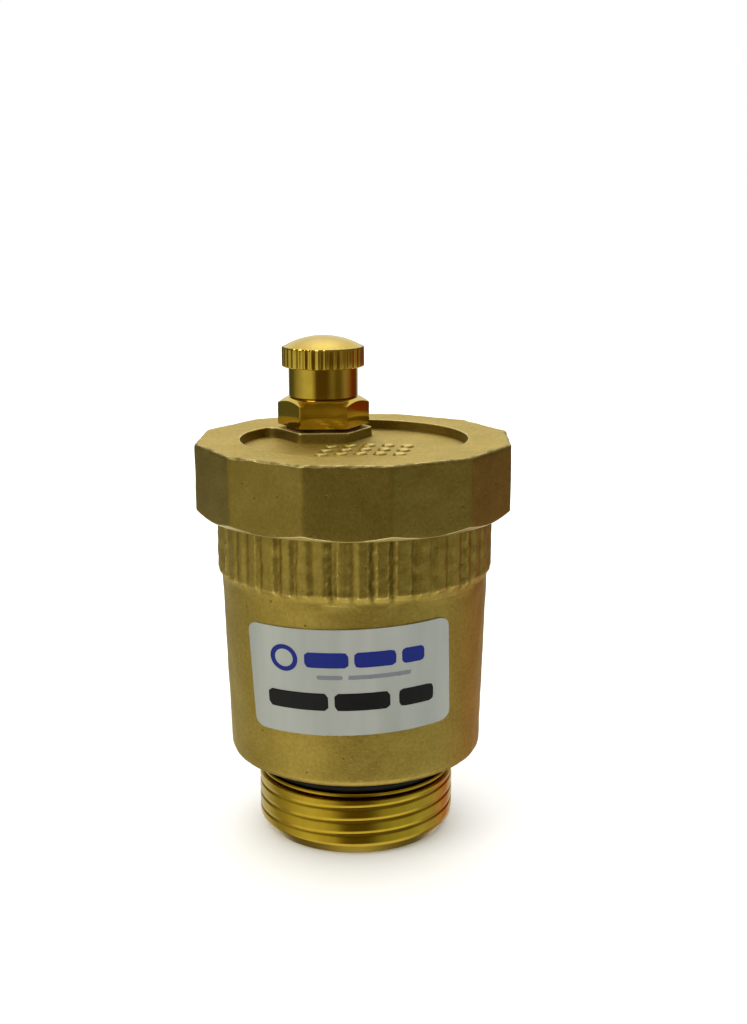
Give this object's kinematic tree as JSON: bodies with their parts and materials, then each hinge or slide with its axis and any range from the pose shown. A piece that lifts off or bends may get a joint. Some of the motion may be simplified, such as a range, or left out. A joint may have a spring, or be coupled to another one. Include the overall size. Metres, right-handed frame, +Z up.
{
  "type": "automatic air vent",
  "caption": "Brass float-operated automatic air vent: fluted chamber, twelve-sided cover, off-centre vent valve with knurled dust cap, and a male pipe thread at the foot.",
  "frame": {"origin": "centre of the inlet thread's bottom end, which is also the centre of the part's footprint", "axes": "+Z up along the body's axis, from the inlet thread to the dust cap; -Y is the labelled front; the vent valve stands off towards +Y and slightly -X"},
  "size_m": [0.0412, 0.0412, 0.066],
  "materials": {
    "cast_brass": "hot-forged and sand-blasted, matte",
    "turned_brass": "turned and bright",
    "black_rubber": "satin",
    "fibre_washer": "matt",
    "stainless_sheet": "rolled",
    "stainless_wire": "drawn",
    "float_plastic": "moulded, translucent white",
    "label_film": "satin silver film"
  },
  "bodies": {
    "housing": {"body": "cast_brass", "inlet_oring": "black_rubber", "label": "label_film"},
    "cover_seal": {"cover_oring": "black_rubber"},
    "cover_group": {"cover": "cast_brass", "valve_body": "turned_brass", "valve_washer": "fibre_washer", "seat_nozzle": "turned_brass", "nozzle_oring": "black_rubber", "lever_bracket": "stainless_sheet", "pivot_pin": "stainless_wire", "stem_spring": "stainless_wire"},
    "cap_core": {"cap_seal": "fibre_washer"},
    "cap": {"dust_cap": "turned_brass"},
    "float": {"float_shell": "float_plastic", "float_base": "float_plastic", "float_bush": "turned_brass", "float_link": "stainless_wire"},
    "lever_arm": {"lever": "stainless_sheet"},
    "stem_group": {"stem": "turned_brass", "stem_seal": "black_rubber", "spring_retainer": "stainless_sheet"}
  },
  "joints": [
    {"name": "cover_lift", "type": "slide", "parent": "housing", "child": "cover_seal", "axis": [0, 0, 1], "range_m": [0, 0.006]},
    {"name": "cover_turn", "type": "hinge", "parent": "cover_seal", "child": "cover_group", "pos_m": [0, 0, 0.0475], "axis": [0, 0, 1], "range_deg": [0, 1440.5]},
    {"name": "cap_lift", "type": "slide", "parent": "cover_group", "child": "cap_core", "axis": [0, 0, 1], "range_m": [0, 0.005]},
    {"name": "cap_turn", "type": "hinge", "parent": "cap_core", "child": "cap", "pos_m": [-0.00418, 0.00857, 0.06], "axis": [0, 0, 1], "range_deg": [0, 1800.5]},
    {"name": "float_rise", "type": "slide", "parent": "cover_group", "child": "float", "axis": [0, 0, 1], "range_m": [0, 0.003]},
    {"name": "lever_swing", "type": "hinge", "parent": "cover_group", "child": "lever_arm", "pos_m": [-0.00552, 0.01132, 0.0454], "axis": [-0.8988, -0.4384, 0], "range_deg": [0, 13.4]},
    {"name": "stem_rise", "type": "slide", "parent": "cover_group", "child": "stem_group", "axis": [0, 0, 1], "range_m": [0, 0.000774], "stiffness_N_per_m": 5, "springref_m": 0.0025, "deforming": ["stem_spring"]}
  ],
  "couplings": [
    {"joint": "cover_turn", "follows": "cover_lift", "rad_per_m": 4188.8},
    {"joint": "cap_turn", "follows": "cap_lift", "rad_per_m": 6283.2},
    {"joint": "lever_swing", "follows": "float_rise", "rad_per_m": 77.914},
    {"joint": "stem_rise", "follows": "float_rise", "ratio": 0.25763}
  ]
}
